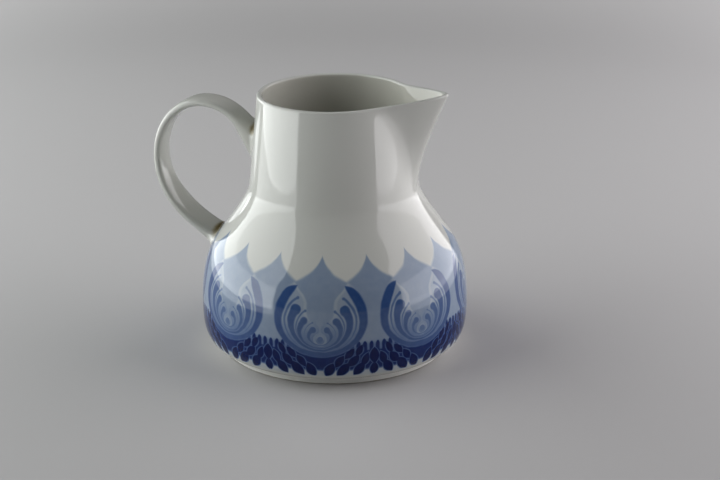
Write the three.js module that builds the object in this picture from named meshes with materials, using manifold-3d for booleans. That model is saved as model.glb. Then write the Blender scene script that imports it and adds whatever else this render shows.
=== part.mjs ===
// Porcelain cream jug: a round-bellied body on a low foot ring, a sparrow-beak spout
// and a strap handle bent into an ear. Millimetres, +Z up, standing on Z = 0.
// The spout points along +X and the handle along -X, and the two halves mirror each other.
import * as THREE from 'three';
import { mergeVertices } from 'three/addons/utils/BufferGeometryUtils.js';
import Module from 'manifold-3d';

const wasm = await Module();
wasm.setup();

// Driving dimensions of the pot itself.
const rimHeight = 90.5;
const rimRadius = 26.2;
const neckRadius = 29.3; // where the neck stands on the shoulder
const neckHeight = 58;
const shoulderRadius = 41.6;
const shoulderHeight = 38;
const bellyRadius = 46.4;
const bellyHeight = 15.5;
const footRadius = 39.6;
const footHeight = 2.8;
const footWidth = 3.8; // across the standing ring, outside to inside

const wall = 2.6;
const lipWall = 1.8; // the wall thins towards the rim
const floorThickness = 2.7;
const rimDip = 0.35; // the rim sits this much lower over the handle, and higher by the spout

// The beak: how far it reaches, how far its tip rises, and the angle it takes up at the rim.
const beakReach = 40.3;
const beakRise = 2.1;
const beakHalfAngle = THREE.MathUtils.degToRad(43);
const beakStartHeight = 58;
const beakSweep = 1.45; // how the push grows with height at the tip
const beakSideSweep = 3; // how much faster it grows beside the tip
const beakEdgeSweep = 22; // and at the beak's edges, which stay hollow until just below the rim
const beakPinch = 2; // how sharply the push falls away to each side
const liftPinch = 2; // how the lift falls away to each side
const beakCutHalfWidth = 16; // of the V that parts the beak, measured at its top
const beakCutTop = rimHeight + 10;
const beakCutFoot = beakStartHeight - 1;

// The handle: a strap with well rounded edges, wider where it lands on the shoulder.
const strapWidth = 10.6;
const strapThickness = 3.05;
const lowerStrapWidth = 13.6;
const handleReach = 65.6;
const broadenFrom = 62; // the heights between which the strap broadens on its way down
const broadenTo = 40;

// The strap thickens towards each end: the share of its length from which it does, and how fast.
const upperSwell = { from: 0.17, rate: 100 };
const lowerSwell = { from: 0.82, rate: 60 };

// The luted pads: their length, and how many times deeper and wider than the strap they get.
const upperPad = { length: 12, deeper: 2.8, wider: 1.1 };
const lowerPad = { length: 9, deeper: 2.3, wider: 1.1 };
const padSweep = 1.5; // how a pad's swelling grows along it

const gap = 0.3; // between neighbouring pieces
const turns = 64; // steps around the pot
const crowding = 0.45; // crowds those steps towards the spout

const halfGap = gap / 2;

// ---- small helpers ----------------------------------------------------------------

// A closed three.js geometry as a manifold solid.
function solidFrom(geometry) {
  const bare = geometry.clone();
  bare.deleteAttribute('normal');
  bare.deleteAttribute('uv');
  const merged = mergeVertices(bare, 1e-4);
  const corners = [];
  const index = merged.index.array;
  for (let i = 0; i < index.length; i += 3) {
    const [a, b, c] = [index[i], index[i + 1], index[i + 2]];
    if (a !== b && b !== c && c !== a) corners.push(a, b, c);
  }
  const mesh = new wasm.Mesh({
    numProp: 3,
    vertProperties: Float32Array.from(merged.attributes.position.array),
    triVerts: Uint32Array.from(corners),
  });
  return new wasm.Manifold(mesh);
}

function geometryFrom(solid) {
  const mesh = solid.getMesh();
  const geometry = new THREE.BufferGeometry();
  geometry.setAttribute('position', new THREE.BufferAttribute(mesh.vertProperties, 3));
  geometry.setIndex(new THREE.BufferAttribute(mesh.triVerts, 1));
  geometry.computeVertexNormals();
  return geometry;
}

// A profile of (radius, height) points turned about the upright axis.
function turned(profile, steps = turns) {
  const geometry = new THREE.LatheGeometry(profile, steps);
  return geometry.rotateX(Math.PI / 2);
}

// Moves every vertex with a function that changes the point it is given.
function reshape(geometry, move) {
  const places = geometry.attributes.position;
  const point = new THREE.Vector3();
  for (let i = 0; i < places.count; i += 1) {
    move(point.fromBufferAttribute(places, i));
    places.setXYZ(i, point.x, point.y, point.z);
  }
  return geometry;
}

function named(name, geometry, finish) {
  const mesh = new THREE.Mesh(geometry, new THREE.MeshStandardMaterial(finish));
  mesh.name = name;
  return mesh;
}

// ---- the pot's profile ------------------------------------------------------------

// The outside of the pot, from the top of the foot ring up to the rim.
function outsideCurve() {
  const curve = new THREE.Path();
  curve.moveTo(footRadius + 0.9, footHeight + halfGap);
  curve.bezierCurveTo(bellyRadius - 0.8, footHeight + 0.4, bellyRadius, 8, bellyRadius, bellyHeight);
  curve.bezierCurveTo(bellyRadius, 24.5, 45.2, 32.5, shoulderRadius, shoulderHeight);
  curve.bezierCurveTo(38.4, 43, neckRadius + 0.5, neckHeight - 5, neckRadius, neckHeight);
  curve.bezierCurveTo(neckRadius - 0.8, 66, rimRadius + 1, 79, rimRadius, rimHeight - lipWall / 2);
  return curve;
}

function outsidePoints() {
  const steps = [5, 6, 7, 8]; // in the foot, belly, shoulder and neck stretches
  const { curves } = outsideCurve();
  return [curves[0].v0, ...curves.flatMap((piece, i) => piece.getPoints(steps[i]).slice(1))];
}

// The wall's thickness at a height: full over the belly, thinner up the neck.
function wallAt(height) {
  const up = THREE.MathUtils.smoothstep(height, neckHeight, rimHeight);
  return THREE.MathUtils.lerp(wall, lipWall, up);
}

// The inside of the pot, from just under the rim down to the middle of its floor.
function insidePoints(outside) {
  const inner = [];
  for (let i = outside.length - 2; outside[i].y >= bellyHeight; i -= 1) {
    const along = outside[i + 1].clone().sub(outside[i - 1]).normalize();
    const inward = new THREE.Vector2(-along.y, along.x);
    inner.push(outside[i].clone().addScaledVector(inward, wallAt(outside[i].y)));
  }
  const floor = footHeight + halfGap + floorThickness;
  const last = inner[inner.length - 1];
  const corner = new THREE.CubicBezierCurve(
    last,
    new THREE.Vector2(last.x, 8.5),
    new THREE.Vector2(39.5, floor),
    new THREE.Vector2(31, floor),
  );
  return [...inner, ...corner.getPoints(5).slice(1), new THREE.Vector2(0, floor)];
}

function potProfile() {
  const outside = outsidePoints();
  const top = outside[outside.length - 1];
  const lip = new THREE.EllipseCurve(
    top.x - lipWall / 2, top.y, lipWall / 2, lipWall / 2, 0, Math.PI, false,
  );
  return [
    new THREE.Vector2(0, footHeight + halfGap),
    ...outside,
    ...lip.getPoints(4).slice(1),
    ...insidePoints(outside),
  ];
}

// ---- the beak ---------------------------------------------------------------------

// Pushes a point of the pot outwards and upwards where the beak is drawn out of the neck.
function drawBeak(point) {
  const radius = Math.hypot(point.x, point.y);
  if (radius < 1e-6) return;
  const angle = Math.atan2(point.y, point.x);
  const height = Math.max(0, (point.z - beakStartHeight) / (rimHeight - beakStartHeight));
  const nearness = Math.max(0, 1 - Math.abs(angle) / beakHalfAngle);
  const aside = 1 - nearness;
  const sweep = beakSweep + beakSideSweep * aside + beakEdgeSweep * aside ** 3;
  const push = (beakReach - rimRadius) * height ** sweep * nearness ** beakPinch;
  const lift = height ** 2 * (beakRise * nearness ** liftPinch + rimDip * Math.cos(angle));
  const scale = (radius + push) / radius;
  point.set(point.x * scale, point.y * scale, point.z + lift);
}

// Slides the turned steps around the pot so that they crowd towards the spout.
function crowdToSpout(point) {
  const radius = Math.hypot(point.x, point.y);
  const angle = Math.atan2(point.y, point.x);
  const slid = angle - crowding * Math.sin(angle);
  point.set(radius * Math.cos(slid), radius * Math.sin(slid), point.z);
}

// The whole pot with its beak, before the beak is parted from it.
function potSolid() {
  const geometry = turned(potProfile());
  reshape(geometry, crowdToSpout);
  reshape(geometry, drawBeak);
  return solidFrom(geometry);
}

// The V that is cut out of rim and neck to take the beak, opened by a margin all round.
function beakCut(margin) {
  const outline = new THREE.Shape();
  outline.moveTo(0, beakCutFoot - 2 * margin);
  outline.lineTo(beakCutHalfWidth + margin, beakCutTop);
  outline.lineTo(-beakCutHalfWidth - margin, beakCutTop);
  outline.closePath();
  const geometry = new THREE.ExtrudeGeometry(outline, { depth: bellyRadius, bevelEnabled: false });
  geometry.rotateX(Math.PI / 2).rotateZ(Math.PI / 2).translate(rimRadius / 4, 0, 0);
  return solidFrom(geometry);
}

// ---- the foot ring ----------------------------------------------------------------

function footRing() {
  const round = 0.6;
  const lean = 0.7; // the ring's sides lean outwards and inwards by this much up to the pot
  const top = footHeight - halfGap;
  const inside = footRadius - footWidth;
  const outline = new THREE.Path();
  outline.moveTo(inside + round, 0);
  outline.lineTo(footRadius - round, 0);
  outline.quadraticCurveTo(footRadius, 0, footRadius, round);
  outline.lineTo(footRadius + lean, top);
  outline.lineTo(inside - lean, top);
  outline.lineTo(inside, round);
  outline.quadraticCurveTo(inside, 0, inside + round, 0);
  return turned(outline.getPoints(4));
}

// ---- the handle -------------------------------------------------------------------

// The middle line of the strap from inside the neck wall round to inside the shoulder wall.
const strapLine = new THREE.CatmullRomCurve3(
  [
    [-28.2, 71.0],
    [-37.4, 81.9],
    [-50.2, 84.0],
    [-59.8, 77.3],
    [-64.05, 65.7],
    [-62.1, 53.3],
    [-54.2, 43.2],
    [-43.0, 35.4],
    [-37.5, 32.0],
  ].map(([x, z]) => new THREE.Vector3(x, 0, z)),
);

// One stretch of a longer curve.
class Stretch extends THREE.Curve {
  constructor(whole, from, to) {
    super();
    this.whole = whole;
    this.from = from;
    this.to = to;
  }

  getPoint(t, target = new THREE.Vector3()) {
    return this.whole.getPointAt(THREE.MathUtils.lerp(this.from, this.to, t), target);
  }
}

// The shares of that line where the strap stops and the luted pads take over.
const strapStart = 0.07;
const strapEnd = 0.9;

const strapSteps = 40; // sections along the strap
const sectionSteps = 28; // points around each section
const strapSquareness = 3; // 2 would be an oval, and more comes closer to a rectangle

// The strap's width at a height: it broadens on its way down to the shoulder.
function widthAt(height) {
  const down = THREE.MathUtils.smoothstep(broadenFrom - height, 0, broadenFrom - broadenTo);
  return THREE.MathUtils.lerp(strapWidth, lowerStrapWidth, down);
}

// Half the strap's thickness at a share of its length.
function depthAt(share) {
  const upper = Math.max(0, upperSwell.from - share);
  const lower = Math.max(0, share - lowerSwell.from);
  return strapThickness / 2 + upperSwell.rate * upper ** 2 + lowerSwell.rate * lower ** 2;
}

// Draws a point of the unit circle out towards the corners of a square.
function squaredOff(x, y) {
  return [x, y].map((value) => Math.sign(value) * Math.abs(value) ** (2 / strapSquareness));
}

function strapSection() {
  const points = [];
  for (let i = 0; i < sectionSteps; i += 1) {
    const turn = (2 * Math.PI * i) / sectionSteps;
    const [side, out] = squaredOff(Math.cos(turn), Math.sin(turn));
    points.push(new THREE.Vector2((side * strapWidth) / 2, (out * strapThickness) / 2));
  }
  return new THREE.Shape(points);
}

function strap() {
  const line = new Stretch(strapLine, strapStart, strapEnd);
  const geometry = new THREE.ExtrudeGeometry(strapSection(), {
    steps: strapSteps,
    bevelEnabled: false,
    extrudePath: line,
  });
  const middles = Array.from({ length: strapSteps + 1 }, (_, i) => line.getPoint(i / strapSteps));
  return reshape(geometry, (point) => {
    const distances = middles.map((middle) => Math.hypot(point.x - middle.x, point.z - middle.z));
    const nearest = distances.indexOf(Math.min(...distances));
    const share = THREE.MathUtils.lerp(strapStart, strapEnd, nearest / strapSteps);
    const deeper = depthAt(share) / (strapThickness / 2);
    const middle = middles[nearest];
    point.set(
      middle.x + (point.x - middle.x) * deeper,
      (point.y * widthAt(middle.z)) / strapWidth,
      middle.z + (point.z - middle.z) * deeper,
    );
  });
}

// The pot's outside as a filled solid, grown by the gap, to trim what is luted onto it.
function potCore() {
  const grown = outsidePoints().map((point) => new THREE.Vector2(point.x + gap, point.y));
  const top = grown[grown.length - 1];
  return solidFrom(turned([
    new THREE.Vector2(0, grown[0].y),
    ...grown,
    new THREE.Vector2(0, top.y),
  ]));
}

// A pad of slip between one end of the strap and the pot. It starts as wide and thick as the
// strap, swells on its way to the wall, and is trimmed to the pot.
function lutedPad(at, towardsWall, width, pad) {
  const geometry = new THREE.CylinderGeometry(1, 1, pad.length, sectionSteps, 5);
  geometry.translate(0, pad.length / 2, 0);
  reshape(geometry, (point) => {
    const swell = Math.max(0, point.y / pad.length) ** padSweep;
    const [out, side] = squaredOff(point.x, point.z);
    point.x = out * depthAt(at) * (1 + (pad.deeper - 1) * swell);
    point.z = side * (width / 2) * (1 + (pad.wider - 1) * swell);
  });
  const middle = strapLine.getPointAt(at);
  const along = strapLine.getTangentAt(at).multiplyScalar(towardsWall);
  const frame = new THREE.Matrix4().makeBasis(
    new THREE.Vector3(-along.z, 0, along.x),
    along,
    new THREE.Vector3(0, 1, 0),
  );
  frame.setPosition(middle.addScaledVector(along, gap));
  geometry.applyMatrix4(frame);
  return geometryFrom(solidFrom(geometry).subtract(potCore()));
}

// ---- the jug ----------------------------------------------------------------------

const glaze = { color: 0xe9edec, roughness: 0.08, metalness: 0 };
const bareBiscuit = { color: 0xd9d2c4, roughness: 0.85, metalness: 0 };

const pot = potSolid();
const body = pot.subtract(beakCut(halfGap));
const beak = pot.intersect(beakCut(-halfGap));

const jug = new THREE.Group();
jug.name = 'cream_jug';
jug.add(
  named('body', geometryFrom(body), glaze),
  named('spout', geometryFrom(beak), glaze),
  named('foot_ring', footRing(), bareBiscuit),
  named('handle', strap(), glaze),
  named('handle_upper_joint', lutedPad(strapStart, -1, strapWidth, upperPad), glaze),
  named('handle_lower_joint', lutedPad(strapEnd, 1, lowerStrapWidth, lowerPad), glaze),
);

// The origin lies under the middle of the jug's whole length, handle included.
jug.position.x = (handleReach - bellyRadius) / 2;

export default jug;
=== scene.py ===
"""A porcelain cream jug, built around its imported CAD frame.

Metres, +Z up, spout along +X. The glazed body and its beak are one continuous skin parted
where the beak is luted on. The strap handle runs into a flared pad of slip at each end.
Lengths below are in millimetres from the pot's own axis and the floor, and add_piece turns
them into metres in the frame.
"""

import math

import bpy
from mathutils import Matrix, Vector


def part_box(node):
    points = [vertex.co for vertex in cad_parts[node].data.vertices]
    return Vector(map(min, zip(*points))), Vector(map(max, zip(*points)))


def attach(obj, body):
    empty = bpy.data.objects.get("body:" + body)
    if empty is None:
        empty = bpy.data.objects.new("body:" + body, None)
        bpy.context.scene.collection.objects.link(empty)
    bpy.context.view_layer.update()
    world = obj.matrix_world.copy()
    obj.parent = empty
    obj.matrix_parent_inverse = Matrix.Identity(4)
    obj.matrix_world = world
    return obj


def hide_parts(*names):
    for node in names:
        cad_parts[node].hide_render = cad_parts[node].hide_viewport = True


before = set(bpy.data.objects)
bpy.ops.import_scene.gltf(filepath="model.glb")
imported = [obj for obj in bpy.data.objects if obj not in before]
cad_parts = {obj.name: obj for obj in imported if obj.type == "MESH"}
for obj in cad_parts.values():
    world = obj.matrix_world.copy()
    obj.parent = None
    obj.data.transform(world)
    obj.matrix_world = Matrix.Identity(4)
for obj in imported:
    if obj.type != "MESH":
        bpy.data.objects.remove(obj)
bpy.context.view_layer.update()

MM = 0.001

# ---- driving dimensions, from the frame where it gives them ------------------------

body_low, body_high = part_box("body")
foot_low, foot_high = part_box("foot_ring")

POT_AXIS = Vector(((body_low.x + body_high.x) / 2, 0, 0))
BELLY_RADIUS = (body_high.y - body_low.y) / 2 / MM
BASE_HEIGHT = body_low.z / MM
RIM_HEIGHT = 90.5
RIM_RADIUS = 26.2
NECK_RADIUS = 29.3
NECK_HEIGHT = 58.0
SHOULDER_RADIUS = 41.6
SHOULDER_HEIGHT = 38.0
BELLY_HEIGHT = 15.5
FOOT_LEAN = 0.7
FOOT_RADIUS = (foot_high.y - foot_low.y) / 2 / MM - FOOT_LEAN
FOOT_WIDTH = 3.8
FOOT_ROUNDING = 0.6
FOOT_OVERHANG = 0.9

WALL = 2.6
LIP_WALL = 1.8
FLOOR_THICKNESS = 2.7
FLAT_FLOOR_RADIUS = 31.0
BASE_DOME = 0.5
RIM_DIP = 0.35

# The beak: how far it reaches and rises, how wide it is, how late it swings out above the
# neck along its ridge, at its sides and at its edges, and how it narrows to its ridge.
BEAK_REACH = 40.3
BEAK_RISE = 2.1
BEAK_HALF_ANGLE = math.radians(43)
BEAK_SWEEP = 1.45
BEAK_SIDE_SWEEP = 3.0
BEAK_EDGE_SWEEP = 22.0
BEAK_PINCH = 2.0
BEAK_LIFT_PINCH = 2.0
BEAK_ROUNDING = math.radians(2.2)
BEAK_ROUNDING_BELOW = math.radians(6.0)
SEAM_ANGLE = math.radians(28.5)
SEAM_FOOT = NECK_HEIGHT - 1

STRAP_WIDTH = 10.6
STRAP_LOWER_WIDTH = 13.6
STRAP_THICKNESS = 3.05
STRAP_SQUARENESS = 3.0
BROADEN_FROM = 62.0
BROADEN_TO = 40.0
STRAP_LINE = (
    (-28.2, 71.0),
    (-37.4, 81.9),
    (-50.2, 84.0),
    (-59.8, 77.3),
    (-64.05, 65.7),
    (-62.1, 53.3),
    (-54.2, 43.2),
    (-43.0, 35.4),
    (-37.5, 32.0),
)
KNOT_STEPS = 24
STRAP_POINT_COUNT = 240
STRAP_EASING_ROUNDS = 120
STRAP_START = 0.07
STRAP_END = 0.90
UPPER_FILLET = 2.2
LOWER_FILLET = 4.2

# Towards each end the strap thickens: where that starts, as a share of its length, and how fast.
UPPER_SWELL_FROM, UPPER_SWELL = 0.17, 100.0
LOWER_SWELL_FROM, LOWER_SWELL = 0.82, 60.0


# ---- small helpers -----------------------------------------------------------------

def mix(a, b, share):
    return a + (b - a) * share


def smooth(value, low, high):
    """0 below low, 1 above high, with an even ease between them."""
    share = min(1.0, max(0.0, (value - low) / (high - low)))
    return share * share * (3 - 2 * share)


def bezier(points, steps):
    """Points along a cubic curve, without its first one."""
    a, b, c, d = (Vector(p) for p in points)
    line = []
    for i in range(1, steps + 1):
        t = i / steps
        u = 1 - t
        line.append(a * u**3 + b * 3 * u * u * t + c * 3 * u * t * t + d * t**3)
    return line


def add_piece(name, vertices, faces, normals, material, nodes, flat_faces=(), inner=None):
    """A smooth mesh in place of CAD nodes. Corner normals come from normals, except on flat faces.

    inner holds 1 for each vertex on the inside of the pot, where the glaze pools.
    """
    mesh = bpy.data.meshes.new(name)
    mesh.from_pydata([v * MM + POT_AXIS for v in vertices], [], faces)
    flat = set(flat_faces)
    corner_normals = []
    for polygon in mesh.polygons:
        is_flat = polygon.index in flat
        polygon.use_smooth = not is_flat
        for v in polygon.vertices:
            corner_normals.append(polygon.normal if is_flat else normals[v])
    mesh.normals_split_custom_set(corner_normals)
    if inner:
        mark = mesh.attributes.new("inner", "FLOAT", "POINT")
        mark.data.foreach_set("value", inner)
    mesh.materials.append(material)
    piece = bpy.data.objects.new(name, mesh)
    bpy.context.scene.collection.objects.link(piece)
    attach(piece, "root")
    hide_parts(*nodes)
    return piece


# ---- the pot's skin ----------------------------------------------------------------

def wall_at(height):
    return mix(WALL, LIP_WALL, smooth(height, NECK_HEIGHT, RIM_HEIGHT))


def outside_profile():
    """The outside of the pot as (radius, height), from the top of the foot ring to the lip."""
    start = Vector((FOOT_RADIUS + FOOT_OVERHANG, BASE_HEIGHT))
    belly = Vector((BELLY_RADIUS, BELLY_HEIGHT))
    shoulder = Vector((SHOULDER_RADIUS, SHOULDER_HEIGHT))
    neck = Vector((NECK_RADIUS, NECK_HEIGHT))
    rim = Vector((RIM_RADIUS, RIM_HEIGHT - LIP_WALL / 2))
    line = [start]
    line += bezier((start, (BELLY_RADIUS - 0.8, BASE_HEIGHT + 0.25), (BELLY_RADIUS, 8), belly), 22)
    line += bezier((belly, (BELLY_RADIUS, 24.5), (45.2, 32.5), shoulder), 28)
    line += bezier((shoulder, (38.4, 43), (NECK_RADIUS + 0.5, NECK_HEIGHT - 5), neck), 34)
    line += bezier((neck, (NECK_RADIUS - 0.8, 66), (RIM_RADIUS + 1, 79), rim), 34)
    return line


def inside_profile(outside):
    """The inside of the pot, from just under the lip down to the middle of its floor."""
    line = []
    for before, here, after in zip(outside, outside[1:], outside[2:]):
        if here.y < BELLY_HEIGHT:
            continue
        along = (after - before).normalized()
        line.append(here + Vector((-along.y, along.x)) * wall_at(here.y))
    line.reverse()
    floor = BASE_HEIGHT + FLOOR_THICKNESS
    last = line[-1]
    line += bezier((last, (last.x, 8.5), (39.5, floor), (FLAT_FLOOR_RADIUS, floor)), 18)
    line += [Vector((FLAT_FLOOR_RADIUS * (1 - i / 12), floor)) for i in range(1, 13)]
    return line


def lip_profile(top):
    """A half round over the lip, from the outside to the inside."""
    half = LIP_WALL / 2
    centre = Vector((top.x - half, top.y))
    turns = [math.pi * i / 14 for i in range(1, 14)]
    return [centre + Vector((math.cos(t), math.sin(t))) * half for t in turns]


def base_profile(start):
    """The base inside the foot ring, from its middle out to where the outside starts."""
    return [
        Vector((start.x * i / 14, BASE_HEIGHT + BASE_DOME * smooth(1 - i / 14, 0.12, 0.6)))
        for i in range(14)
    ]


def beak_point(radius, height, angle):
    """A point of the pot's skin, drawn outwards and upwards near the beak."""
    folded = math.atan2(math.sin(angle), math.cos(angle))
    rise = max(0.0, (height - NECK_HEIGHT) / (RIM_HEIGHT - NECK_HEIGHT))
    rounding = mix(BEAK_ROUNDING_BELOW, BEAK_ROUNDING, min(1.0, rise))
    rounded = math.hypot(folded, rounding) - rounding
    nearness = max(0.0, 1 - rounded / BEAK_HALF_ANGLE)
    aside = 1 - nearness
    sweep = BEAK_SWEEP + BEAK_SIDE_SWEEP * aside + BEAK_EDGE_SWEEP * aside**3
    push = (BEAK_REACH - RIM_RADIUS) * rise**sweep * nearness**BEAK_PINCH
    lift = rise**2 * (BEAK_RISE * nearness**BEAK_LIFT_PINCH + RIM_DIP * math.cos(folded))
    reach = radius + push
    return Vector((reach * math.cos(angle), reach * math.sin(angle), height + lift))


def seam_angle(height):
    """How far the seam between body and beak stands off the spout's middle at a height."""
    return SEAM_ANGLE * max(0.0, (height - SEAM_FOOT) / (RIM_HEIGHT - SEAM_FOOT))


class Skin:
    """The pot's whole profile: rings of (radius, height) from the base round to the inner floor."""

    def __init__(self):
        outside = outside_profile()
        lip = lip_profile(outside[-1])
        inside = inside_profile(outside)
        base = base_profile(outside[0])
        self.rings = base + outside + lip + inside
        # The inner glaze starts two rings before the end of the lip's half round.
        self.lip_end = len(base) + len(outside) + len(lip) - 3

    def point(self, ring, angle):
        radius, height = self.rings[ring]
        return beak_point(radius, height, angle)

    def normal(self, ring, angle):
        step = math.radians(0.05)
        last = len(self.rings) - 1
        if self.rings[ring].x < 1e-6:
            return Vector((0, 0, -1 if ring == 0 else 1))
        across = self.point(ring, angle + step) - self.point(ring, angle - step)
        up = self.point(min(ring + 1, last), angle) - self.point(max(ring - 1, 0), angle)
        return across.cross(up).normalized()


SKIN = Skin()
COLUMNS = 288
SPOUT_COLUMNS = 64


def skin_piece(ring_list, angle_at, columns, is_parted):
    """A stretch of the skin. Its parted rings stay open, and close_seam closes them."""
    vertices, normals, faces, flat_faces, inner = [], [], [], [], []
    start = {}
    for ring in ring_list:
        start[ring] = len(vertices)
        is_inner = 1.0 if ring > SKIN.lip_end else 0.0
        if SKIN.rings[ring].x < 1e-6:
            vertices.append(SKIN.point(ring, 0))
            normals.append(SKIN.normal(ring, 0))
            inner.append(is_inner)
            continue
        count = columns + 1 if is_parted(ring) else columns
        for column in range(count):
            angle = angle_at(ring, column / columns)
            vertices.append(SKIN.point(ring, angle))
            normals.append(SKIN.normal(ring, angle))
            inner.append(is_inner)

    def corner(ring, column):
        if SKIN.rings[ring].x < 1e-6:
            return start[ring]
        if not is_parted(ring):
            column %= columns
        return start[ring] + column

    def add_face(corners, flat=False):
        tidy = list(dict.fromkeys(corners))
        if len(tidy) > 2:
            if flat:
                flat_faces.append(len(faces))
            faces.append(tidy)

    for low, high in zip(ring_list, ring_list[1:]):
        for column in range(columns):
            add_face((
                corner(low, column),
                corner(low, column + 1),
                corner(high, column + 1),
                corner(high, column),
            ))
    return vertices, normals, faces, flat_faces, inner, corner, add_face


def pot_pieces(glaze):
    """The body and the beak, which meet at a seam cut straight through the wall."""
    rings = SKIN.rings
    parted = [i for i, ring in enumerate(rings) if ring.y > SEAM_FOOT]
    first, last = parted[0], parted[-1]
    mirror = {first + i: last - i for i in range(len(parted))}
    wall_pairs = [(i, mirror[i]) for i in parted if i < mirror[i]]

    def body_angle(ring, share):
        half = seam_angle(rings[ring].y)
        return half + (2 * math.pi - 2 * half) * share

    vertices, normals, faces, flat_faces, inner, corner, add_face = skin_piece(
        range(len(rings)), body_angle, COLUMNS, lambda r: first <= r <= last)
    close_seam(wall_pairs, first, last, corner, add_face, COLUMNS, False)
    add_piece("body", vertices, faces, normals, glaze, ["body"], flat_faces, inner)

    def spout_angle(ring, share):
        half = seam_angle(rings[ring].y)
        return half * (2 * share - 1)

    ring_list = list(range(first - 1, last + 2))
    vertices, normals, faces, flat_faces, inner, corner, add_face = skin_piece(
        ring_list, spout_angle, SPOUT_COLUMNS, lambda r: True)
    close_seam(wall_pairs, first, last, corner, add_face, SPOUT_COLUMNS, True)
    add_piece("spout", vertices, faces, normals, glaze, ["spout"], flat_faces, inner)


def close_seam(wall_pairs, first, last, corner, add_face, columns, is_spout):
    """Closes a parted piece from its outer skin to its inner skin, down both sides of the V."""
    pairs = [(first - 1, last + 1)] + wall_pairs
    for (low_out, low_in), (high_out, high_in) in zip(pairs, pairs[1:]):
        for column, turned in ((0, is_spout), (columns, not is_spout)):
            quad = [
                corner(low_out, column),
                corner(high_out, column),
                corner(high_in, column),
                corner(low_in, column),
            ]
            add_face(quad if turned else quad[::-1], flat=True)
    top_out, top_in = pairs[-1]
    between = list(range(top_out, top_in + 1))
    if len(between) > 2:
        for column, turned in ((0, is_spout), (columns, not is_spout)):
            fan = [corner(ring, column) for ring in between]
            add_face(fan if turned else fan[::-1], flat=True)


# ---- the foot ring -----------------------------------------------------------------

def turned_piece(name, outline, material, nodes, columns=COLUMNS):
    """A closed outline of (radius, height) turned about the pot's axis."""
    count = len(outline)
    vertices, normals, faces = [], [], []
    for column in range(columns):
        angle = 2 * math.pi * column / columns
        out = Vector((math.cos(angle), math.sin(angle), 0))
        for i, here in enumerate(outline):
            along = outline[(i + 1) % count] - outline[i - 1]
            vertices.append(out * here.x + Vector((0, 0, here.y)))
            normals.append((out * along.y + Vector((0, 0, -along.x))).normalized())
        for i in range(count):
            j = (i + 1) % count
            here, there = column * count, (column + 1) % columns * count
            faces.append((here + i, there + i, there + j, here + j))
    return add_piece(name, vertices, faces, normals, material, nodes)


def foot_ring_outline():
    """The standing ring: rounded edges below, and leaning sides that run up to the pot."""
    inner, outer = FOOT_RADIUS - FOOT_WIDTH, FOOT_RADIUS
    round_off, lean = FOOT_ROUNDING, FOOT_LEAN
    top = BASE_HEIGHT
    line = []
    for centre, first in ((Vector((outer - round_off, round_off)), -90),
                          (Vector((inner + round_off, round_off)), 180)):
        for i in range(9):
            turn = math.radians(first + 90 * i / 8)
            line.append(centre + Vector((math.cos(turn), math.sin(turn))) * round_off)
        if first == -90:
            line += [mix(line[-1], Vector((outer + lean, top)), i / 8) for i in range(1, 8)]
            line.append(Vector((outer + lean, top)))
            line.append(Vector((inner - lean, top)))
            line += [mix(line[-1], Vector((inner, round_off)), i / 8) for i in range(1, 8)]
    return line


# ---- the handle --------------------------------------------------------------------

def strap_points():
    """The strap's middle line as evenly spaced points, eased so that it bends without a break."""
    knots = [Vector((x, 0, z)) for x, z in STRAP_LINE]
    knots = [2 * knots[0] - knots[1]] + knots + [2 * knots[-1] - knots[-2]]
    line = []
    for a, b, c, d in zip(knots, knots[1:], knots[2:], knots[3:]):
        ts = [0.0]
        for p, q in ((a, b), (b, c), (c, d)):
            ts.append(ts[-1] + math.sqrt((q - p).length))
        for i in range(KNOT_STEPS):
            t = mix(ts[1], ts[2], i / KNOT_STEPS)
            ab = mix(a, b, (t - ts[0]) / (ts[1] - ts[0]))
            bc = mix(b, c, (t - ts[1]) / (ts[2] - ts[1]))
            cd = mix(c, d, (t - ts[2]) / (ts[3] - ts[2]))
            abc = mix(ab, bc, (t - ts[0]) / (ts[2] - ts[0]))
            bcd = mix(bc, cd, (t - ts[1]) / (ts[3] - ts[1]))
            line.append(mix(abc, bcd, (t - ts[1]) / (ts[2] - ts[1])))
    line.append(knots[-2])
    line = spaced(line, STRAP_POINT_COUNT)
    for _ in range(STRAP_EASING_ROUNDS):
        eased = [(p + q + r) / 3 for p, q, r in zip(line, line[1:], line[2:])]
        line = [line[0]] + eased + [line[-1]]
    return spaced(line, STRAP_POINT_COUNT)


def spaced(line, count):
    """The same line with its points at even distances."""
    lengths = [0.0]
    for p, q in zip(line, line[1:]):
        lengths.append(lengths[-1] + (q - p).length)
    even, k = [], 0
    for i in range(count + 1):
        want = lengths[-1] * i / count
        while k < len(line) - 2 and lengths[k + 1] < want:
            k += 1
        span = lengths[k + 1] - lengths[k]
        even.append(mix(line[k], line[k + 1], (want - lengths[k]) / span))
    return even


STRAP_POINTS = strap_points()
STRAP_LENGTH = sum((q - p).length for p, q in zip(STRAP_POINTS, STRAP_POINTS[1:]))
SECTION_STEPS = 72


def strap_width(height):
    down = smooth(BROADEN_FROM - height, 0, BROADEN_FROM - BROADEN_TO)
    return mix(STRAP_WIDTH, STRAP_LOWER_WIDTH, down)


def strap_depth(share):
    """Half the strap's thickness at a share of its length, and how fast it grows to either side."""
    upper = max(0.0, UPPER_SWELL_FROM - share)
    lower = max(0.0, share - LOWER_SWELL_FROM)
    depth = STRAP_THICKNESS / 2 + UPPER_SWELL * upper**2 + LOWER_SWELL * lower**2
    growth = 2 * (UPPER_SWELL * upper + LOWER_SWELL * lower) / STRAP_LENGTH
    return depth, growth


def rounded_box(turn):
    """A point of a unit square with well rounded corners."""
    c, s = math.cos(turn), math.sin(turn)
    power = 2 / STRAP_SQUARENESS
    return math.copysign(abs(c) ** power, c), math.copysign(abs(s) ** power, s)


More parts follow.
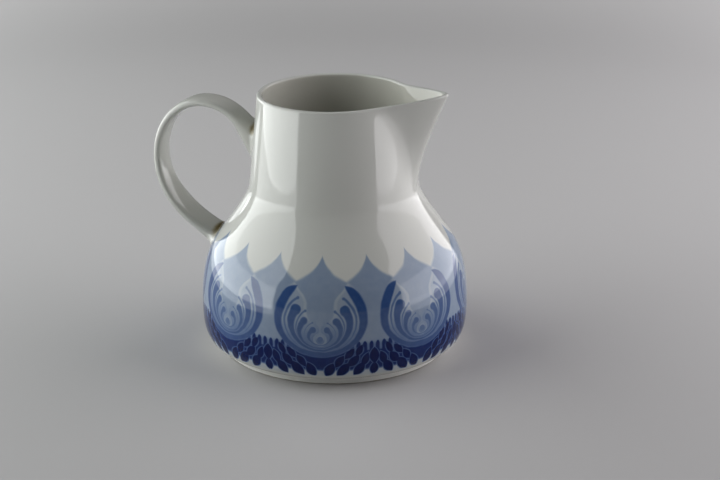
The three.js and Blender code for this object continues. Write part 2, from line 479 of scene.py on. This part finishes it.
def strap_section(index):
    """One section of the strap: its points, and the way that the skin runs on from each of them."""
    middle = STRAP_POINTS[index]
    before = STRAP_POINTS[max(index - 1, 0)]
    after = STRAP_POINTS[min(index + 1, len(STRAP_POINTS) - 1)]
    along = (after - before).normalized()
    outward = Vector((-along.z, 0, along.x))
    half_width = strap_width(middle.z) / 2
    depth, growth = strap_depth(index / (len(STRAP_POINTS) - 1))
    points, ways = [], []
    for i in range(SECTION_STEPS):
        out, side = rounded_box(2 * math.pi * i / SECTION_STEPS)
        points.append(middle + outward * (depth * out) + Vector((0, half_width * side, 0)))
        ways.append(outward * (growth * out))
    return points, along, ways


OUTSIDE = outside_profile()
SEARCH_STEP, SEARCH_REACH = 0.25, 40.0


def profile_radius(height):
    """The pot's outer radius at a height."""
    for low, high in zip(OUTSIDE, OUTSIDE[1:]):
        if low.y <= height <= high.y and high.y > low.y:
            return mix(low.x, high.x, (height - low.y) / (high.y - low.y))
    return OUTSIDE[-1].x


def on_wall(point):
    """The nearest point on the pot's outside, in the upright plane through it, and its normal."""
    radius = math.hypot(point.x, point.y)
    here = Vector((radius, point.z))
    best, best_distance, best_along = None, 1e9, None
    for low, high in zip(OUTSIDE, OUTSIDE[1:]):
        along = high - low
        share = min(1.0, max(0.0, (here - low).dot(along) / along.length_squared))
        spot = low + along * share
        distance = (here - spot).length
        if distance < best_distance:
            best, best_distance, best_along = spot, distance, along.normalized()
    out = Vector((point.x, point.y, 0)) / radius
    normal = (out * best_along.y + Vector((0, 0, -best_along.x))).normalized()
    return out * best.x + Vector((0, 0, best.y)), normal


def hit_wall(start, direction):
    """Where a straight line from a point outside the pot meets it."""
    near, far = 0.0, None
    travelled = 0.0
    while travelled < SEARCH_REACH:
        travelled += SEARCH_STEP
        point = start + direction * travelled
        if math.hypot(point.x, point.y) < profile_radius(point.z):
            far = travelled
            break
        near = travelled
    if far is None:
        return on_wall(start)[0]
    for _ in range(20):
        halfway = (near + far) / 2
        point = start + direction * halfway
        if math.hypot(point.x, point.y) < profile_radius(point.z):
            far = halfway
        else:
            near = halfway
    return start + direction * near


def pad_rings(index, direction_sign, fillet):
    """Rings from a strap section to the wall: straight along the strap, then flared on to it."""
    points, along, ways = strap_section(index)
    directions = [(along * direction_sign + way).normalized() for way in ways]
    hits = [hit_wall(p, direction) for p, direction in zip(points, directions)]
    centre = sum(hits, Vector()) / len(hits)
    straight, curved, sunk = 8, 14, 0.35
    paths = []
    for start, hit, direction in zip(points, hits, directions):
        normal = on_wall(hit)[1]
        away = hit - centre
        away -= normal * away.dot(normal)
        away.normalize()
        steep = -direction.dot(normal)
        lean = away.dot(direction)
        spread = fillet * (1.0 + 0.9 * max(0.0, -lean)) * (1 - 0.45 * max(0.0, lean))
        target, target_normal = on_wall(hit + away * spread)
        back = min(spread * (1.0 + 0.5 * (1 - steep)), (hit - start).length * 0.95)
        knee = hit - direction * back
        path = [mix(start, knee, i / straight) for i in range(straight + 1)]
        for i in range(1, curved + 1):
            t = i / curved
            path.append(knee * (1 - t) ** 2 + hit * 2 * t * (1 - t) + target * t * t)
        path.append(target - target_normal * sunk)
        paths.append(path)
    return [[path[k] for path in paths] for k in range(straight + curved + 2)]


def crease(index, direction_sign, side):
    """Where the strap's inner side (side 0) or outer side (side 1) runs into the pot."""
    points, along, ways = strap_section(index)
    place = side * SECTION_STEPS // 2
    direction = (along * direction_sign + ways[place]).normalized()
    return hit_wall(points[place], direction)


FIRST_SECTION = round(STRAP_START * (len(STRAP_POINTS) - 1))
LAST_SECTION = round(STRAP_END * (len(STRAP_POINTS) - 1))


def smooth_normals(vertices, faces):
    """Area-weighted vertex normals."""
    normals = [Vector() for _ in vertices]
    for face in faces:
        corners = [vertices[i] for i in face]
        normal = Vector()
        for i in range(1, len(corners) - 1):
            normal += (corners[i] - corners[0]).cross(corners[i + 1] - corners[0])
        for i in face:
            normals[i] += normal
    return [n.normalized() if n.length > 0 else Vector((0, 0, 1)) for n in normals]


def tube_faces(ring_count, around):
    """Faces between neighbouring rings, each with the same number of points around it."""
    faces = []
    for k in range(ring_count - 1):
        for i in range(around):
            j = (i + 1) % around
            here, there = k * around, (k + 1) * around
            faces.append((here + i, here + j, there + j, there + i))
    return faces


def handle_pieces(glaze):
    """The strap between its pads. All three share their end sections, so the glaze runs on."""
    first, last = FIRST_SECTION, LAST_SECTION
    strap = [strap_section(i)[0] for i in range(first, last + 1)]
    upper = pad_rings(first, -1, UPPER_FILLET)
    lower = pad_rings(last, 1, LOWER_FILLET)
    rings = upper[:0:-1] + strap + lower[1:]
    count = SECTION_STEPS
    vertices = [p for ring in rings for p in ring]
    normals = smooth_normals(vertices, tube_faces(len(rings), count))
    joins = (0, len(upper) - 1, len(upper) - 1 + last - first, len(rings) - 1)
    names = ("handle_upper_joint", "handle", "handle_lower_joint")
    for name, low, high in zip(names, joins, joins[1:]):
        piece_vertices = vertices[low * count:(high + 1) * count]
        piece_normals = normals[low * count:(high + 1) * count]
        piece_faces = tube_faces(high - low + 1, count)
        caps = (len(piece_faces), len(piece_faces) + 1)
        piece_faces.append(list(range(count))[::-1])
        piece_faces.append([(high - low) * count + i for i in range(count)])
        add_piece(name, piece_vertices, piece_faces, piece_normals, glaze,
                  [name], caps)


# ---- shader arithmetic -------------------------------------------------------------

class Wire:
    """A number flowing through a node tree. Arithmetic on it adds math nodes."""

    def __init__(self, tree, socket):
        self.tree = tree
        self.socket = socket

    def math(self, operation, *others):
        node = self.tree.nodes.new("ShaderNodeMath")
        node.operation = operation
        for place, value in enumerate((self, *others)):
            plug(self.tree, value, node.inputs[place])
        return Wire(self.tree, node.outputs[0])

    def __add__(self, other):
        return self.math("ADD", other)

    def __sub__(self, other):
        return self.math("SUBTRACT", other)

    def __rsub__(self, other):
        return (self * -1.0) + other

    def __mul__(self, other):
        return self.math("MULTIPLY", other)

    def __truediv__(self, other):
        return self.math("DIVIDE", other)

    def __pow__(self, other):
        return self.math("POWER", other)

    __radd__ = __add__
    __rmul__ = __mul__


def plug(tree, value, socket):
    if isinstance(value, Wire):
        tree.links.new(value.socket, socket)
    else:
        socket.default_value = value


def length_of(a, b):
    return (a * a + b * b).math("SQRT")


def ease(value, low, high):
    """Rises softly from 0 at low to 1 at high, or falls if low is above high."""
    node = value.tree.nodes.new("ShaderNodeMapRange")
    node.interpolation_type = "SMOOTHSTEP"
    plug(value.tree, value, node.inputs["Value"])
    falls = not isinstance(low, Wire) and not isinstance(high, Wire) and low > high
    plug(value.tree, high if falls else low, node.inputs["From Min"])
    plug(value.tree, low if falls else high, node.inputs["From Max"])
    node.inputs["To Min"].default_value = 1.0 if falls else 0.0
    node.inputs["To Max"].default_value = 0.0 if falls else 1.0
    return Wire(value.tree, node.outputs["Result"])


def blend_to(a, b, share):
    """a where share is 0, b where it is 1."""
    return a + (b - a) * share if isinstance(a, Wire) else (b - a) * share + a


def noise(tree, vector, scale, detail, seed):
    """Noise between 0 and 1 on a vector, shifted by a seed."""
    node = tree.nodes.new("ShaderNodeTexNoise")
    node.noise_dimensions = "4D"
    node.inputs["Scale"].default_value = scale
    node.inputs["Detail"].default_value = detail
    node.inputs["W"].default_value = seed
    tree.links.new(vector, node.inputs["Vector"])
    return Wire(tree, node.outputs[0])


# ---- the cobalt decoration ---------------------------------------------------------

MEDALLIONS = 8
MEDALLION_START = math.radians(11.6)
CELL = 2 * math.pi * BELLY_RADIUS / MEDALLIONS

# What turns a height into a length along the skin, above the belly and under it, and how far
# the painted edges wander, in millimetres.
CLIMB_FROM, CLIMB = 28.0, 0.0093
TUCK_BELOW, TUCK = 6.2, 0.13
WOBBLE = 0.7

# How thick the colour lies, where 1 is a petal.
PETAL_TONE = 1.0
GROUND_TONE = 0.78
HALO_TONE = 1.75
BAND_TONE = 4.9
LEAF_TONE = 6.2
VEIN_TONE = 2.1
DOT_TONE = 1.9
BLEED_TONE = 0.35

# The border's parts in millimetres: heights are along the skin from the foot, and a petal's
# shoulder and tip are how far they rise over the valley between two petals.
PETAL_VALLEY, PETAL_SHOULDER, PETAL_TIP = 38.2, 5.6, 3.5
TOOTH_TOP, TOOTH_ROOT, TOOTH_SPACING = 17.9, 14.6, 2.2
BAND_FOOT = 7.9
DOT_HEIGHT = 19.0
STEM_FOOT, STEM_WIDTH = 20.5, 4.6
STEM_SHOULDER, STEM_FLARE = 31.0, 5.0

# Each scroll is part of an oval about the medallion's axis: half width, centre height, depth
# below the centre, height above it, where it ends in degrees from its foot, half thickness at
# its foot and at its fullest, the radius of its round head, and its tone.
SCROLLS = (
    (15.0, 26.0, 12.3, 13.3, 146, 1.1, 1.6, 0.0, 2.75),
    (12.2, 25.3, 10.9, 9.8, 140, 0.35, 0.5, 0.55, 2.0),
    (9.9, 24.5, 9.3, 8.1, 122, 0.5, 1.6, 1.8, 2.5),
    (8.1, 23.1, 7.5, 6.9, 142, 0.3, 0.4, 0.5, 1.9),
    (6.9, 21.7, 5.7, 5.7, 128, 0.35, 1.05, 1.25, 2.35),
    (5.2, 21.0, 4.4, 4.3, 150, 0.25, 0.32, 0.45, 1.8),
    (3.8, 20.1, 3.0, 2.8, 140, 0.3, 0.85, 1.2, 2.2),
)


def scroll_distance(x, s, scroll):
    """About how far a point lies outside one scroll, in millimetres."""
    half, centre, depth, rise, degrees, foot, full, head, _ = scroll
    end = math.radians(degrees)
    drop = s * -1.0 + centre
    below = drop.math("MAXIMUM", 0.0) / depth
    above = drop.math("MINIMUM", 0.0) / rise
    v = below + above
    u = x / half
    turn = u.math("ARCTAN2", v)
    share = (turn / end).math("MINIMUM", 1.0)
    if head:
        thickness = (share ** 1.6) * (full - foot) + foot
    else:
        bulge = (share ** 3.0) * (1.0 - share ** 3.0) * (full * 4.0)
        thickness = bulge + (1.0 - share) * foot
    stroke = ((length_of(u, v) - 1.0) * min(half, depth)).math("ABSOLUTE") - thickness
    stroke = stroke.math("MAXIMUM", (turn - end) * half)
    if head:
        head_x = half * math.sin(end)
        head_s = centre - rise * math.cos(end)
        knob = length_of(x - head_x, s - head_s) - head
        stroke = stroke.math("SMOOTH_MIN", knob, 0.5)
    return stroke


# Leaves of the band, in millimetres from the medallion's axis and above the foot: middle,
# height, lean in degrees, half length and half width.
LEAVES = (
    (3.3, 8.4, -24, 2.9, 1.55),
    (8.1, 8.5, -40, 3.1, 1.6),
    (13.4, 8.5, -34, 2.9, 1.5),
    (6.6, 11.5, -34, 2.4, 1.2),
    (11.4, 11.5, -42, 2.6, 1.4),
    (10.0, 14.2, -42, 2.3, 1.1),
    (15.3, 11.9, -22, 2.5, 1.2),
    (13.2, 15.3, -28, 2.2, 1.0),
    (18.2, 13.2, 0, 2.9, 1.5),
    (17.9, 8.2, 0, 2.0, 1.0),
)


def leaf_distance(x, s, leaf):
    """About how far a point lies outside a leaf pointed at both ends, in millimetres."""
    middle, height, lean, half_length, half_width = leaf
    c, k = math.cos(math.radians(lean)), math.sin(math.radians(lean))
    dx, ds = x - middle, s - height
    along = (ds * c - dx * k) / half_length
    across = (dx * c + ds * k).math("ABSOLUTE")
    belly = along + 0.18
    return across - (1.0 - belly * belly * 0.85 - along * along * 0.1) * half_width


def border_coordinates(tree, position):
    """The way round the belly from the first medallion, and the way up the skin, in millimetres."""
    split = tree.nodes.new("ShaderNodeSeparateXYZ")
    tree.links.new(position, split.inputs[0])
    px = Wire(tree, split.outputs["X"]) - POT_AXIS.x
    py = Wire(tree, split.outputs["Y"])
    height = Wire(tree, split.outputs["Z"]) / MM
    climb = (height - CLIMB_FROM).math("MAXIMUM", 0.0)
    tuck = (TUCK_BELOW - height).math("MAXIMUM", 0.0)
    up = height + climb * climb * CLIMB - tuck * tuck * TUCK
    around = (py.math("ARCTAN2", px) - MEDALLION_START) * BELLY_RADIUS
    around = around + (noise(tree, position, 260.0, 1.0, 3.0) - 0.5) * WOBBLE
    up = up + (noise(tree, position, 260.0, 1.0, 8.0) - 0.5) * WOBBLE
    return around, up


def medallion_tone(x, s):
    """The medallion: a pale ground, the petal's stem, the nested scrolls and a dot."""
    stem_edge = (ease(s - STEM_FOOT, 0.0, 7.5) * STEM_WIDTH
                 + ease(s - STEM_SHOULDER, 0.0, 8.0) * STEM_FLARE)
    stem = ease(stem_edge - x, -0.5, 0.4)
    rings = ease(s, 21.5, 17.0) * 0.85
    ground = blend_to(stem * (PETAL_TONE - GROUND_TONE) + GROUND_TONE, HALO_TONE, rings)
    stem_outline = ease((stem_edge - x + 0.6).math("ABSOLUTE"), 1.0, 0.2) * ease(s, 24.0, 29.0)
    ground = ground * (1.0 - stem_outline * 0.25)
    dot = length_of(x, s - DOT_HEIGHT)
    strokes = ease(dot, 1.6, 0.8) * DOT_TONE
    halo = None
    for scroll in SCROLLS:
        distance = scroll_distance(x, s, scroll)
        strokes = strokes.math("MAXIMUM", ease(distance, 0.5, -0.45) * scroll[-1])
        near = ease(distance, 1.5, 0.6)
        halo = near if halo is None else halo.math("MAXIMUM", near)
    ground = blend_to(ground, HALO_TONE, halo * ease(s, 27.0, 20.0) * 0.7)
    pale_ring = ease((dot - 1.95).math("ABSOLUTE"), 0.6, 0.2)
    ground = blend_to(ground, GROUND_TONE * 1.4, pale_ring)
    return ground.math("MAXIMUM", strokes)


def inside_medallion(x, s):
    """Above 0 inside the medallion's outer oval and below 0 outside it, roughly in millimetres."""
    half, centre, depth, rise, _, foot, full, _, _ = SCROLLS[0]
    drop = s * -1.0 + centre
    down = drop.math("MAXIMUM", 0.0) / (depth + foot)
    up = drop.math("MINIMUM", 0.0) / (rise + 2.2)
    return (1.0 - length_of(x / (half + full * 0.6), down + up)) * 12.0


def decoration_tone(tree, position):
    """How thick the cobalt lies over the white body, from petals down to the leaf band."""
    arc, s = border_coordinates(tree, position)
    x = arc.math("PINGPONG", CELL / 2)
    petal_x = arc.math("PINGPONG", CELL / 4)

    # Petals: sixteen points with hollow shoulders.
    lean = 1.0 - petal_x / (CELL / 4)
    edge = lean * PETAL_SHOULDER + (lean ** 4.5) * PETAL_TIP + PETAL_VALLEY
    tone = ease(edge - s, -0.8, 0.9) * PETAL_TONE

    # The fringe of teeth and the band of leaves between the medallions.
    from_mid = CELL / 2 - x
    tooth = (from_mid - TOOTH_SPACING / 2).math("PINGPONG", TOOTH_SPACING / 2)
    tooth_top = from_mid * from_mid * 0.01 + TOOTH_TOP
    tooth_top = tooth_top - tooth * tooth * 1.4
    in_tooth = ease(0.62 - tooth, -0.3, 0.25)
    below_top = ease(tooth_top - s, -0.4, 0.4)
    fringe = blend_to(tone, VEIN_TONE * 0.9, ease(s, TOOTH_TOP + 0.5, TOOTH_TOP - 1.5))
    tone = blend_to(fringe, BAND_TONE, in_tooth * below_top)
    tone = blend_to(tone, BAND_TONE, ease(TOOTH_ROOT - s, -0.5, 0.3))

    inside = inside_medallion(x, s)
    in_medallion = ease(inside, -0.35, 0.35) * ease(s, 38.8, 37.4)
    tone = blend_to(tone, medallion_tone(x, s), in_medallion)

    # Leaves lie over the band and over its lower edge.
    leaves = None
    for leaf in LEAVES:
        distance = leaf_distance(x, s, leaf)
        leaves = distance if leaves is None else leaves.math("MINIMUM", distance)
    below_medallion = ease(inside, 0.2, -0.4)
    vein = ease(leaves, 0.7, 0.35) * ease(leaves, -0.15, 0.2) * below_medallion
    tone = blend_to(tone, VEIN_TONE, vein * ease(s, 17.0, 15.6) * 0.8)
    tone = blend_to(tone, LEAF_TONE, ease(leaves, 0.2, -0.2) * below_medallion)

    # Below the leaf tips the colour stops, with a soft bleed into the glaze.
    lower_edge = ease(s - BAND_FOOT, -0.7, 0.7).math("MAXIMUM", ease(leaves, 0.6, 0.1))
    bleed = ease(s, 4.3, 6.4) * BLEED_TONE
    tone = tone * lower_edge * ease(s, 5.2, 6.0) + bleed * (1.0 - lower_edge)

    # Brushed and fired colour is never even.
    mottle = noise(tree, position, 420.0, 3.0, 15.0) * 0.30 + 0.85
    return tone * mottle


# ---- fired colour ------------------------------------------------------------------

# How fast each pigment swallows red, green and blue.
COBALT_FADE = (0.90, 0.68, 0.33)
# This fade also colours the painted brown shade in the creases where the handle meets the pot.
IRON_AND_SHADE_FADE = (0.60, 0.72, 1.0)

# The painted brown shade in a crease fades with distance, and a millimetre across the strap counts
# for only
# CREASE_SPREAD of one. The others are how thick that painted shade lies and how thick the brown
# lies in the specks.
CREASE_SPREAD = 0.3
CREASE_SHADE = 2.6
SPECK_STAIN = 2.0


def stained(tree, layers, white):
    """White seen through layers of colour. A layer is how thick it lies and each channel's fade."""
    combine = tree.nodes.new("ShaderNodeCombineColor")
    for channel, start in enumerate(white):
        depth = None
        for thickness, fade in layers:
            part = thickness * -fade[channel]
            depth = part if depth is None else depth + part
        tree.links.new((depth.math("EXPONENT") * start).socket, combine.inputs[channel])
    return combine.outputs[0]


def specks_and_crease_shade(tree, position):
    """Painted brown shade fading out from the creases over the handle's ends, and brown specks in
    the glaze.
    """
    creases = (
        (crease(FIRST_SECTION, -1, 1), 3.0),
        (crease(LAST_SECTION, 1, 0), 3.2),
    )
    blur = noise(tree, position, 500.0, 2.0, 61.0)
    split = tree.nodes.new("ShaderNodeSeparateXYZ")
    tree.links.new(position, split.inputs[0])
    x, y, z = (Wire(tree, output) / MM for output in split.outputs)
    aside = (y * CREASE_SPREAD).math("ABSOLUTE")
    painted_shade = None
    # Painted shade: a brown darkening that fades out from each crease where the strap runs into the
    # pot.
    for place, reach in creases:
        distance = length_of(length_of(x - place.x - POT_AXIS.x / MM, z - place.z), aside)
        one_crease_shade = ease(distance + blur * 0.8, reach, 0.8) * CREASE_SHADE
        painted_shade = one_crease_shade if painted_shade is None else painted_shade + one_crease_shade
    cells = tree.nodes.new("ShaderNodeTexVoronoi")
    cells.inputs["Scale"].default_value = 85.0
    tree.links.new(position, cells.inputs["Vector"])
    split = tree.nodes.new("ShaderNodeSeparateColor")
    tree.links.new(cells.outputs["Color"], split.inputs[0])
    chosen = ease(Wire(tree, split.outputs[0]), 0.90, 0.92)
    size = Wire(tree, split.outputs[1]) * 0.016 + 0.014
    speck = ease(Wire(tree, cells.outputs["Distance"]) / size, 1.0, 0.5)
    return painted_shade + speck * chosen * SPECK_STAIN


# ---- materials ---------------------------------------------------------------------

PORCELAIN_WHITE = (0.555, 0.56, 0.53)
INNER_POOL = 0.16
HANDLE_POOL = 0.08
CLEAN_BISCUIT = (0.72, 0.72, 0.69)
# Dark brown at the foot's edge: the biscuit's own fired brown, deepened with painted contact
# shadow.
FLASHED_AND_SHADED_BISCUIT = (0.20, 0.145, 0.09)


def new_material(name):
    material = bpy.data.materials.new(name)
    material.use_nodes = True
    tree = material.node_tree
    shader = tree.nodes["Principled BSDF"]
    coordinates = tree.nodes.new("ShaderNodeTexCoord")
    return material, tree, shader, coordinates.outputs["Object"]


def glaze_surface(tree, shader, position):
    """A clear fired glaze: glossy, with a faint waviness, slightly duller patches and pits."""
    shader.inputs["IOR"].default_value = 1.52
    roughness = noise(tree, position, 90.0, 2.0, 21.0) * 0.035 + 0.035
    tree.links.new(roughness.socket, shader.inputs["Roughness"])
    wave = noise(tree, position, 55.0, 1.0, 31.0) * 0.6
    wave = wave + noise(tree, position, 400.0, 1.0, 32.0) * 0.02
    pits = tree.nodes.new("ShaderNodeTexVoronoi")
    pits.inputs["Scale"].default_value = 150.0
    tree.links.new(position, pits.inputs["Vector"])
    split = tree.nodes.new("ShaderNodeSeparateColor")
    tree.links.new(pits.outputs["Color"], split.inputs[0])
    chosen = ease(Wire(tree, split.outputs[2]), 0.93, 0.94)
    wave = wave + ease(Wire(tree, pits.outputs["Distance"]), 0.028, 0.0) * chosen * 0.45
    bump = tree.nodes.new("ShaderNodeBump")
    bump.inputs["Strength"].default_value = 0.35
    bump.inputs["Distance"].default_value = 0.0004
    tree.links.new(wave.socket, bump.inputs["Height"])
    tree.links.new(bump.outputs[0], shader.inputs["Normal"])


def decorated_glaze():
    """The pot's glaze: the blue border outside, a warmer glaze pooled inside, and painted brown
    shade in the creases at the handle's ends.
    """
    material, tree, shader, position = new_material("decorated_glaze")
    tone = decoration_tone(tree, position)
    mark = tree.nodes.new("ShaderNodeAttribute")
    mark.attribute_name = "inner"
    inner = Wire(tree, mark.outputs["Fac"])
    # The creases carry painted brown shade; the specks and the warmer glaze inside are the glaze's
    # own colour.
    iron_and_crease_shade = specks_and_crease_shade(tree, position) + inner * INNER_POOL
    layers = ((tone * (1.0 - inner), COBALT_FADE), (iron_and_crease_shade, IRON_AND_SHADE_FADE))
    tree.links.new(stained(tree, layers, PORCELAIN_WHITE), shader.inputs["Base Color"])
    glaze_surface(tree, shader, position)
    return material


def white_glaze():
    """The handle's glaze: plain, with a breath of blue and of brown oxide, and painted brown shade
    in the creases at its ends.
    """
    material, tree, shader, position = new_material("white_glaze")
    blush = noise(tree, position, 70.0, 2.0, 44.0) * 0.06
    # The creases at the strap's ends carry painted brown shade; the specks and the faint brown are
    # the glaze's own colour.
    iron_and_crease_shade = specks_and_crease_shade(tree, position) + HANDLE_POOL
    layers = ((blush, COBALT_FADE), (iron_and_crease_shade, IRON_AND_SHADE_FADE))
    tree.links.new(stained(tree, layers, PORCELAIN_WHITE), shader.inputs["Base Color"])
    glaze_surface(tree, shader, position)
    return material


def bare_biscuit():
    """Unglazed porcelain at the foot: matt, faintly gritty, and brown at the very edge, partly its
    own fired colour and partly painted contact shadow.
    """
    material, tree, shader, position = new_material("bare_biscuit")
    split = tree.nodes.new("ShaderNodeSeparateXYZ")
    tree.links.new(position, split.inputs[0])
    height = Wire(tree, split.outputs["Z"]) / MM
    patch = noise(tree, position, 300.0, 3.0, 5.0)
    # Painted contact shadow along the edge that stands on the floor, laid over the biscuit's own
    # brown.
    flash_and_contact_shade = ease(height + patch * 0.5, 0.75, 0.3)
    combine = tree.nodes.new("ShaderNodeCombineColor")
    for channel, (clean, flashed_and_shaded) in enumerate(zip(CLEAN_BISCUIT, FLASHED_AND_SHADED_BISCUIT)):
        level = blend_to(clean, flashed_and_shaded, flash_and_contact_shade)
        tree.links.new(level.socket, combine.inputs[channel])
    tree.links.new(combine.outputs[0], shader.inputs["Base Color"])
    roughness = blend_to(0.12, 0.75, ease(height, 1.1, 0.6))
    tree.links.new(roughness.socket, shader.inputs["Roughness"])
    bump = tree.nodes.new("ShaderNodeBump")
    bump.inputs["Strength"].default_value = 0.2
    bump.inputs["Distance"].default_value = 0.0002
    grit = noise(tree, position, 3000.0, 2.0, 6.0) * ease(height, 1.1, 0.6)
    tree.links.new(grit.socket, bump.inputs["Height"])
    tree.links.new(bump.outputs[0], shader.inputs["Normal"])
    return material


# ---- stage, lights and camera ------------------------------------------------------

# The camera, in degrees and metres from the pot's axis.
CAMERA_BEARING = 17.8
CAMERA_DISTANCE = 0.600
CAMERA_HEIGHT = 0.2548
CAMERA_PITCH = 19.943
CAMERA_YAW = 0.844
CAMERA_LENS = 91.6

# The floor, how brightly it glows far away, and how bright the surround is as a light and
# as a backdrop.
FLOOR_SIZE = 6.0
FLOOR_COLOUR = (0.49, 0.483, 0.485, 1)
FAR_FLOOR = 0.33
AMBIENT, BACKDROP = 0.03, 0.70

# The soft panels beside the jug: side, front edge, back edge, distance, height, radiance and
# whether the jug reflects them. Panels that it reflects light nothing, and the others light
# everything, so that the bands on the glaze and the light on the floor are set apart.
COOL, WARM = (0.97, 1.0, 0.99), (1.0, 0.98, 1.0)
PANELS = {
    "left_panel": (-1, -0.30, 0.50, 0.38, 0.50, 2.7, True),
    "right_panel": (1, -0.25, 0.42, 0.38, 0.40, 1.8, True),
    "left_gleam": (-1, -0.161, 0.35, 0.18, 0.10, 1.3, True),
    "right_gleam": (1, -0.1235, 0.18, 0.18, 0.10, 1.05, True),
    "left_fill": (-1, -0.32, 0.60, 0.40, 0.50, 2.95, False),
    "right_fill": (1, -0.28, 0.56, 0.40, 0.50, 2.65, False),
}
INSIDE_LIGHT_POWER = 10.0
INSIDE_LIGHT_HEIGHT = 0.95


def studio_floor():
    """A plain pale floor. Far from the jug, past the panels, it glows faintly and so stays pale."""
    size = FLOOR_SIZE
    corners = [(-size, -size, 0), (size, -size, 0), (size, size, 0), (-size, size, 0)]
    mesh = bpy.data.meshes.new("studio_floor")
    mesh.from_pydata(corners, [], [(0, 1, 2, 3)])
    material, tree, shader, position = new_material("studio_floor")
    shader.inputs["Base Color"].default_value = FLOOR_COLOUR
    shader.inputs["Roughness"].default_value = 0.7
    shader.inputs["Specular IOR Level"].default_value = 0.0
    shader.inputs["Emission Color"].default_value = (1.0, 0.99, 0.99, 1)
    split = tree.nodes.new("ShaderNodeSeparateXYZ")
    tree.links.new(position, split.inputs[0])
    away = length_of(Wire(tree, split.outputs["X"]), Wire(tree, split.outputs["Y"]))
    glow = ease(away, 0.42, 0.80) * FAR_FLOOR
    tree.links.new(glow.socket, shader.inputs["Emission Strength"])
    mesh.materials.append(material)
    floor = bpy.data.objects.new("studio_floor", mesh)
    bpy.context.scene.collection.objects.link(floor)


def side_panel(name, side, front, back, distance, tall, radiance, is_reflected):
    """A soft panel standing upright beside the jug, from front to back as the camera sees it."""
    turn = math.radians(CAMERA_BEARING)
    right = Vector((math.cos(turn), math.sin(turn), 0))
    away = Vector((-math.sin(turn), math.cos(turn), 0))
    light = bpy.data.lights.new(name, "AREA")
    light.shape = "RECTANGLE"
    light.color = COOL if side < 0 else WARM
    light.size = back - front
    light.size_y = tall
    light.energy = radiance * math.pi * light.size * light.size_y
    lamp = bpy.data.objects.new(name, light)
    middle = away * (front + back) / 2 + Vector((0, 0, tall / 2))
    lamp.location = POT_AXIS + right * side * distance + middle
    lamp.rotation_euler = (right * -side).to_track_quat("-Z", "Y").to_euler()
    lamp.visible_camera = False
    lamp.visible_diffuse = not is_reflected
    lamp.visible_glossy = is_reflected
    bpy.context.scene.collection.objects.link(lamp)


def inside_light():
    """A narrow light straight above the mouth, which only brightens the inside."""
    light = bpy.data.lights.new("inside_light", "SPOT")
    light.energy = INSIDE_LIGHT_POWER
    light.spot_size = math.radians(3.3)
    light.spot_blend = 0.6
    light.shadow_soft_size = 0.01
    lamp = bpy.data.objects.new("inside_light", light)
    lamp.location = POT_AXIS + Vector((0, 0, INSIDE_LIGHT_HEIGHT))
    lamp.visible_glossy = False
    lamp.visible_camera = False
    bpy.context.scene.collection.objects.link(lamp)


def photo_camera():
    turn = math.radians(CAMERA_BEARING)
    camera_data = bpy.data.cameras.new("photo_camera")
    camera_data.lens = CAMERA_LENS
    camera_data.sensor_width = 36.0
    camera_data.clip_start = 0.01
    camera_data.clip_end = 30.0
    camera = bpy.data.objects.new("photo_camera", camera_data)
    back = Vector((math.sin(turn), -math.cos(turn), 0)) * CAMERA_DISTANCE
    camera.location = POT_AXIS + back + Vector((0, 0, CAMERA_HEIGHT))
    camera.rotation_euler = (
        math.radians(90 - CAMERA_PITCH), 0, math.radians(CAMERA_BEARING - CAMERA_YAW))
    bpy.context.scene.collection.objects.link(camera)
    bpy.context.scene.camera = camera


def studio_world():
    """A dim surround for light and reflections, and a pale backdrop where the floor ends."""
    world = bpy.data.worlds.new("studio")
    world.use_nodes = True
    tree = world.node_tree
    background = tree.nodes["Background"]
    background.inputs["Color"].default_value = (0.5, 0.5, 0.5, 1)
    rays = tree.nodes.new("ShaderNodeLightPath")
    strength = Wire(tree, rays.outputs["Is Camera Ray"]) * (BACKDROP - AMBIENT) + AMBIENT
    tree.links.new(strength.socket, background.inputs["Strength"])
    bpy.context.scene.world = world


photo_camera()
studio_world()
studio_floor()
for panel_name, panel in PANELS.items():
    side_panel(panel_name, *panel)
inside_light()
view = bpy.context.scene.view_settings
view.view_transform = "Standard"
view.use_curve_mapping = True
view.curve_mapping.black_level = (0.008, 0.008, 0.008)
view.curve_mapping.update()

# ---- the jug -----------------------------------------------------------------------

decorated = decorated_glaze()
plain = white_glaze()
biscuit = bare_biscuit()
pot_pieces(decorated)
handle_pieces(plain)
turned_piece("foot_ring", foot_ring_outline(), biscuit, ["foot_ring"])
